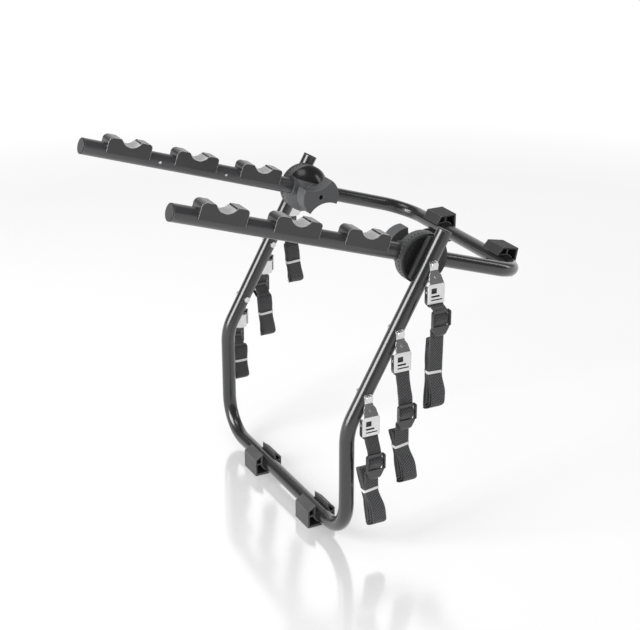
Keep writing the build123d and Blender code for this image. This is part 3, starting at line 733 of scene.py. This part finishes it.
def webbing_ring(strap, sizes, place, ahead, travelled):
    """One cross-section of the webbing: its outer face from edge to edge, then its inner face back."""
    seed = STRAPS.index(strap.name) * STRAP_SEED
    square = Vector((-ahead.y, ahead.x))
    lean, out = settled(place, strap, sizes)
    free = min(1.0, max(0.0, (strap.buckle_bottom - place.y) / FREE_LENGTH))
    loose = min(1.0, max(0.0, (strap.hook_top - place.y) / LOOSE_LENGTH))
    sway = sizes.sway * loose * wander(travelled, seed, (SWAY_RATE, place.z * SWAY_LAYERS)) + lean
    wave = WAVE_DEPTH * loose * wander(travelled, seed, WAVE)
    waving = sizes.ripple * free * (1 - loose)
    ripple = waving * wander(travelled, seed, RIPPLE)
    twist = TWIST_SHARE * waving * wander(travelled, seed, TWIST)
    ring = []
    for face, columns in ((1, range(COLUMNS + 1)), (-1, range(COLUMNS, -1, -1))):
        for column in columns:
            share = column / COLUMNS - 0.5
            thin = 1.0 - EDGE_THINNING * (column in (0, COLUMNS))
            cup = CUP_DEPTH * (share * share * 4 - CUP_MIDDLE)
            offset = square * (face * sizes.thickness / 2 * thin + wave + cup)
            ring.append(strap.point(share * sizes.width + sway, out + offset.x + ripple + twist * share,
                                    place.y + offset.y))
    return ring


def build_webbing(name, sizes, material):
    """One strap's webbing as a closed woven band, and its length."""
    strap = Strap(name)
    line, run = resampled(webbing_line(strap, sizes), sizes.step)
    mesh = bmesh.new()
    weave = mesh.loops.layers.uv.new("weave")
    rows = []
    for i, (place, travelled) in enumerate(zip(line, run)):
        before, after = line[max(i - 1, 0)], line[min(i + 1, len(line) - 1)]
        ahead = (after - before).xy.normalized()
        rows.append([mesh.verts.new(point) for point in webbing_ring(strap, sizes, place, ahead, travelled)])
    count = 2 * (COLUMNS + 1)
    for one, two, s1, s2 in zip(rows, rows[1:], run, run[1:]):
        for k in range(count):
            j = (k + 1) % count
            quad = mesh.faces.new((one[k], one[j], two[j], two[k]))
            for loop, (corner, s) in zip(quad.loops, ((k, s1), (j, s1), (j, s2), (k, s2))):
                column = corner if corner <= COLUMNS else count - 1 - corner
                loop[weave].uv = (column / COLUMNS * sizes.width, s)
    for ring in (rows[0], rows[-1]):
        for k in range(COLUMNS):
            mesh.faces.new((ring[k], ring[k + 1], ring[count - 2 - k], ring[count - 1 - k]))
    return finished_mesh(mesh, f"webbing_{name}", material), run[-1]


def finished_mesh(mesh, name, material):
    """Turn a bmesh into a smooth piece at the origin."""
    bmesh.ops.recalc_face_normals(mesh, faces=mesh.faces)
    data = bpy.data.meshes.new(name)
    mesh.to_mesh(data)
    mesh.free()
    data.shade_smooth()
    data.materials.append(material)
    piece = bpy.data.objects.new(name, data)
    bpy.context.collection.objects.link(piece)
    return piece


def band_tree(material):
    """Geometry nodes that run a rounded flat band along a closed line, and its inputs' identifiers."""
    tree = bpy.data.node_groups.new("tie_band", "GeometryNodeTree")
    face = tree.interface
    face.new_socket("Geometry", in_out="INPUT", socket_type="NodeSocketGeometry")
    inputs = {name: face.new_socket(name, in_out="INPUT", socket_type="NodeSocketFloat").identifier
              for name in ("Height", "Thickness", "Corner")}
    face.new_socket("Geometry", in_out="OUTPUT", socket_type="NodeSocketGeometry")
    new, link = tree.nodes.new, tree.links.new
    given, result = new("NodeGroupInput"), new("NodeGroupOutput")
    line, upright = new("GeometryNodeMeshToCurve"), new("GeometryNodeSetCurveNormal")
    section, rounded = new("GeometryNodeCurvePrimitiveQuadrilateral"), new("GeometryNodeFilletCurve")
    band, smooth = new("GeometryNodeCurveToMesh"), new("GeometryNodeSetShadeSmooth")
    real, finish = new("GeometryNodeRealizeInstances"), new("GeometryNodeSetMaterial")
    upright.mode = "Z_UP"
    rounded.mode = "POLY"
    rounded.inputs["Count"].default_value = TIE_CORNER_POINTS
    finish.inputs["Material"].default_value = material
    link(given.outputs["Geometry"], line.inputs["Mesh"])
    link(line.outputs["Curve"], upright.inputs["Curve"])
    link(upright.outputs["Curve"], band.inputs["Curve"])
    link(given.outputs["Thickness"], section.inputs["Width"])
    link(given.outputs["Height"], section.inputs["Height"])
    link(section.outputs["Curve"], rounded.inputs["Curve"])
    link(given.outputs["Corner"], rounded.inputs["Radius"])
    link(rounded.outputs["Curve"], band.inputs["Profile Curve"])
    link(band.outputs["Mesh"], smooth.inputs["Geometry"])
    link(smooth.outputs["Geometry"], real.inputs["Geometry"])
    link(real.outputs["Geometry"], finish.inputs["Geometry"])
    link(finish.outputs["Geometry"], result.inputs["Geometry"])
    return tree, inputs


def tie_line(strap, sizes):
    """Points of the closed line round a roll, square to the roll's lean."""
    lean = math.tan(math.radians(ROLLS[strap.name][1]))
    gap = sizes.tie_thickness / 2 + TIE_GAP
    outer_layers = (sizes.turns * sizes.pitch + sizes.thickness / 2) * TIED_ABOVE
    inner_layers = ((sizes.turns - 1) * sizes.pitch + sizes.thickness / 2) * TIED_ABOVE
    outer = sizes.centre + outer_layers + gap
    inner = sizes.centre - inner_layers - gap - TIE_INNER_GAP
    half, middle, deep = sizes.width / 2 + gap + TIE_SIDE_GAP, (outer + inner) / 2, (outer - inner) / 2
    seed = STRAPS.index(strap.name) * TIE_SEED
    points = []
    for i in range(TIE_POINTS):
        turn = 2 * math.pi * i / TIE_POINTS
        c, s = math.cos(turn), math.sin(turn)
        x = half * math.copysign(abs(c) ** TIE_SQUARE_ACROSS, c)
        out = middle + deep * math.copysign(abs(s) ** TIE_SQUARE_OUT, s)
        uneven = TIE_UNEVEN * noise.noise(Vector((c * TIE_RATE, s * TIE_RATE, seed)))
        points.append(strap.point(x, out, strap.tie + x * lean + uneven))
    return points


def build_tie(name, sizes, tree, inputs):
    """White tie wound round one roll."""
    points = tie_line(Strap(name), sizes)
    guide = bpy.data.meshes.new(f"tie_line_{name}")
    guide.from_pydata(points, [(i, (i + 1) % len(points)) for i in range(len(points))], [])
    piece = bpy.data.objects.new(f"tie_{name}", guide)
    bpy.context.collection.objects.link(piece)
    maker = piece.modifiers.new("band", "NODES")
    maker.node_group = tree
    maker[inputs["Height"]] = sizes.tie_height
    maker[inputs["Thickness"]] = sizes.tie_thickness
    maker[inputs["Corner"]] = sizes.tie_corner
    view = bpy.context.evaluated_depsgraph_get()
    band = bpy.data.meshes.new_from_object(piece.evaluated_get(view))
    piece.modifiers.remove(maker)
    piece.data = band
    bpy.data.meshes.remove(guide)
    if not band.polygons:
        raise RuntimeError(f"the tie of {name} came out empty")
    return piece


def build_floor(material):
    """Square floor just below the rack."""
    level = CAD_BOX[0][2] - FLOOR_GAP
    corners = [(x * FLOOR_HALF, y * FLOOR_HALF, level) for x, y in ((-1, -1), (1, -1), (1, 1), (-1, 1))]
    data = bpy.data.meshes.new("floor")
    data.from_pydata(corners, [], [(0, 1, 2, 3)])
    data.materials.append(material)
    floor = bpy.data.objects.new("floor", data)
    bpy.context.collection.objects.link(floor)
    return floor


def photograph_camera():
    """Camera that looks from where the photograph was taken."""
    data = bpy.data.cameras.new("camera")
    data.lens, data.sensor_width = CAMERA_LENS, SENSOR_WIDTH
    camera = bpy.data.objects.new("camera", data)
    camera.location = CAMERA_PLACE
    camera.rotation_euler = (math.radians(90 - CAMERA_ELEVATION), 0, math.radians(CAMERA_AZIMUTH))
    bpy.context.collection.objects.link(camera)
    return camera


def area_lamp(name, place, aim, size, power):
    """Soft box that looks at a point."""
    data = bpy.data.lights.new(name, "AREA")
    data.shape, data.energy = "RECTANGLE", power
    data.size, data.size_y = size
    lamp = bpy.data.objects.new(name, data)
    lamp.location = place
    lamp.rotation_euler = (Vector(aim) - Vector(place)).to_track_quat("-Z", "Y").to_euler()
    bpy.context.collection.objects.link(lamp)


class RACK_OT_tubes(bpy.types.Operator):
    """Satin black paint on the frame tubes and arms"""

    bl_idname = "rack.tubes"
    bl_label = "Tubes and arms"

    def execute(self, context):
        paint = context.scene.rack_colours.paint
        dress_like(painted_steel("satin_black_paint", list(paint)), "lower_frame_tube", "upper_frame_tube")
        dress_like(painted_steel("arm_paint", shade(paint, ARM_SHADE), gloss=0.30, peel=0.10, coat=0.3),
                   "arm_tube")
        return {"FINISHED"}


class RACK_OT_caps(bpy.types.Operator):
    """Gloss black caps in the open ends of legs and arms"""

    bl_idname = "rack.caps"
    bl_label = "End caps"

    def execute(self, context):
        colours = context.scene.rack_colours
        dress_like(end_cap("cap_plastic", list(colours.cap), list(colours.cap_rim_highlight)),
                   "leg_end_caps", "arm_end_caps")
        return {"FINISHED"}


class RACK_OT_hubs(bpy.types.Operator):
    """Moulded hub halves and the winged knobs"""

    bl_idname = "rack.hubs"
    bl_label = "Hubs and knobs"

    def execute(self, context):
        colours = context.scene.rack_colours
        black = list(colours.polished)
        dress_like(hub_plastic("housing_plastic", list(colours.plastic), black), "hub_housing")
        dress_like(hub_plastic("dish_plastic", shade(colours.plastic, DISH_SHADE), black), "hub_dish")
        dress_like(moulded_plastic("knob_plastic", list(colours.plastic), list(colours.knob_highlight)),
                   "knob_near", "knob_far")
        return {"FINISHED"}


class RACK_OT_cradles(bpy.types.Operator):
    """Rubber cradles and the smooth liners in their notches"""

    bl_idname = "rack.cradles"
    bl_label = "Cradles"

    def execute(self, context):
        colours = context.scene.rack_colours
        dress_like(rubber("cradle_rubber", shade(colours.rubber, CRADLE_SHADE), list(colours.rubber_highlight),
                          roughness=0.42, highlight_share=1.0, shine=0.7), "cradle_near", "cradle_far")
        dress_like(moulded_plastic("liner_plastic", list(colours.liner), list(colours.liner_highlight),
                                   roughness=0.32, highlight_share=1.0), "cradle_liners")
        return {"FINISHED"}


class RACK_OT_pads(bpy.types.Operator):
    """Extruded rubber pads on the two crossbars"""

    bl_idname = "rack.pads"
    bl_label = "Pads"

    def execute(self, context):
        colours = context.scene.rack_colours
        # The lower pads get a lighter copy of the pad rubber: painted light
        for place, times in (("upper", UPPER_PAD_SHADE), ("lower", LOWER_PAD_PAINTED_LIGHT)):
            dress_like(rubber(f"{place}_pad_rubber", shade(colours.rubber, times), list(colours.rubber_highlight),
                              roughness=0.55, highlight_share=0.25, along=EXTRUDED), f"{place}_pad")
        return {"FINISHED"}


class RACK_OT_metal(bpy.types.Operator):
    """Zinc plate on buckles, levers, bolts, nuts and rivets, and paint on the hooks"""

    bl_idname = "rack.metal"
    bl_label = "Strap metal and fasteners"

    def execute(self, context):
        colours = context.scene.rack_colours
        dress_like(zinc_plate("zinc_plate", list(colours.zinc)), "strap_buckle", "strap_lever", "hub_bolts",
                   "strap_bolts", "bolt_nuts", "knob_nut", "cradle_rivets")
        hook_paint = shade(colours.paint, HOOK_SHADE)
        dress_like(painted_steel("hook_paint", hook_paint, gloss=0.30, peel=0.12, coat=0.3), "strap_hook")
        return {"FINISHED"}


class RACK_OT_webbing(bpy.types.Operator):
    """Woven webbing of the six straps, threaded through the hooks and rolled up"""

    bl_idname = "rack.webbing"
    bl_label = "Webbing"

    def execute(self, context):
        sizes = context.scene.rack_webbing
        material = woven("black_webbing", list(context.scene.rack_colours.thread))
        for name in STRAPS:
            piece, length = build_webbing(name, sizes, material)
            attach(piece, f"strap_{name}")
            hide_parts(f"strap_webbing_{name}")
        return {"FINISHED"}


class RACK_OT_ties(bpy.types.Operator):
    """White ties round the six rolls"""

    bl_idname = "rack.ties"
    bl_label = "Ties"

    def execute(self, context):
        tree, inputs = band_tree(white_tie("white_tie", list(context.scene.rack_colours.tie)))
        for name in STRAPS:
            tie = build_tie(name, context.scene.rack_webbing, tree, inputs)
            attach(tie, f"strap_{name}")
            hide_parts(f"strap_tie_{name}")
        return {"FINISHED"}


class RACK_OT_stage(bpy.types.Operator):
    """Pale floor, soft boxes and the camera"""

    bl_idname = "rack.stage"
    bl_label = "Stage"

    def execute(self, context):
        scene = context.scene
        build_floor(studio_floor("studio_floor", list(scene.rack_colours.floor)))
        scene.world = studio_world()
        for lamp in LAMPS:
            area_lamp(*lamp)
        scene.camera = photograph_camera()
        scene.view_settings.view_transform = "Standard"
        return {"FINISHED"}


class RACK_PT_panel(bpy.types.Panel):
    """Builds the rack's pieces one group at a time"""

    bl_idname = "RACK_PT_panel"
    bl_label = "Bike rack"
    bl_space_type = "VIEW_3D"
    bl_region_type = "UI"
    bl_category = "Bike rack"

    def draw(self, context):
        for operator in OPERATORS:
            self.layout.operator(operator.bl_idname)


OPERATORS = (RACK_OT_tubes, RACK_OT_caps, RACK_OT_hubs, RACK_OT_cradles, RACK_OT_pads, RACK_OT_metal,
             RACK_OT_webbing, RACK_OT_ties, RACK_OT_stage)
CLASSES = (WebbingSizes, FinishColours, *OPERATORS, RACK_PT_panel)


def register():
    for cls in CLASSES:
        bpy.utils.register_class(cls)
    bpy.types.Scene.rack_webbing = bpy.props.PointerProperty(type=WebbingSizes)
    bpy.types.Scene.rack_colours = bpy.props.PointerProperty(type=FinishColours)


def unregister():
    del bpy.types.Scene.rack_colours
    del bpy.types.Scene.rack_webbing
    for cls in reversed(CLASSES):
        bpy.utils.unregister_class(cls)


def main():
    register()
    bpy.ops.rack.tubes()
    bpy.ops.rack.caps()
    bpy.ops.rack.hubs()
    bpy.ops.rack.cradles()
    bpy.ops.rack.pads()
    bpy.ops.rack.metal()
    bpy.ops.rack.webbing()
    bpy.ops.rack.ties()
    bpy.ops.rack.stage()


if __name__ == "__main__":
    main()
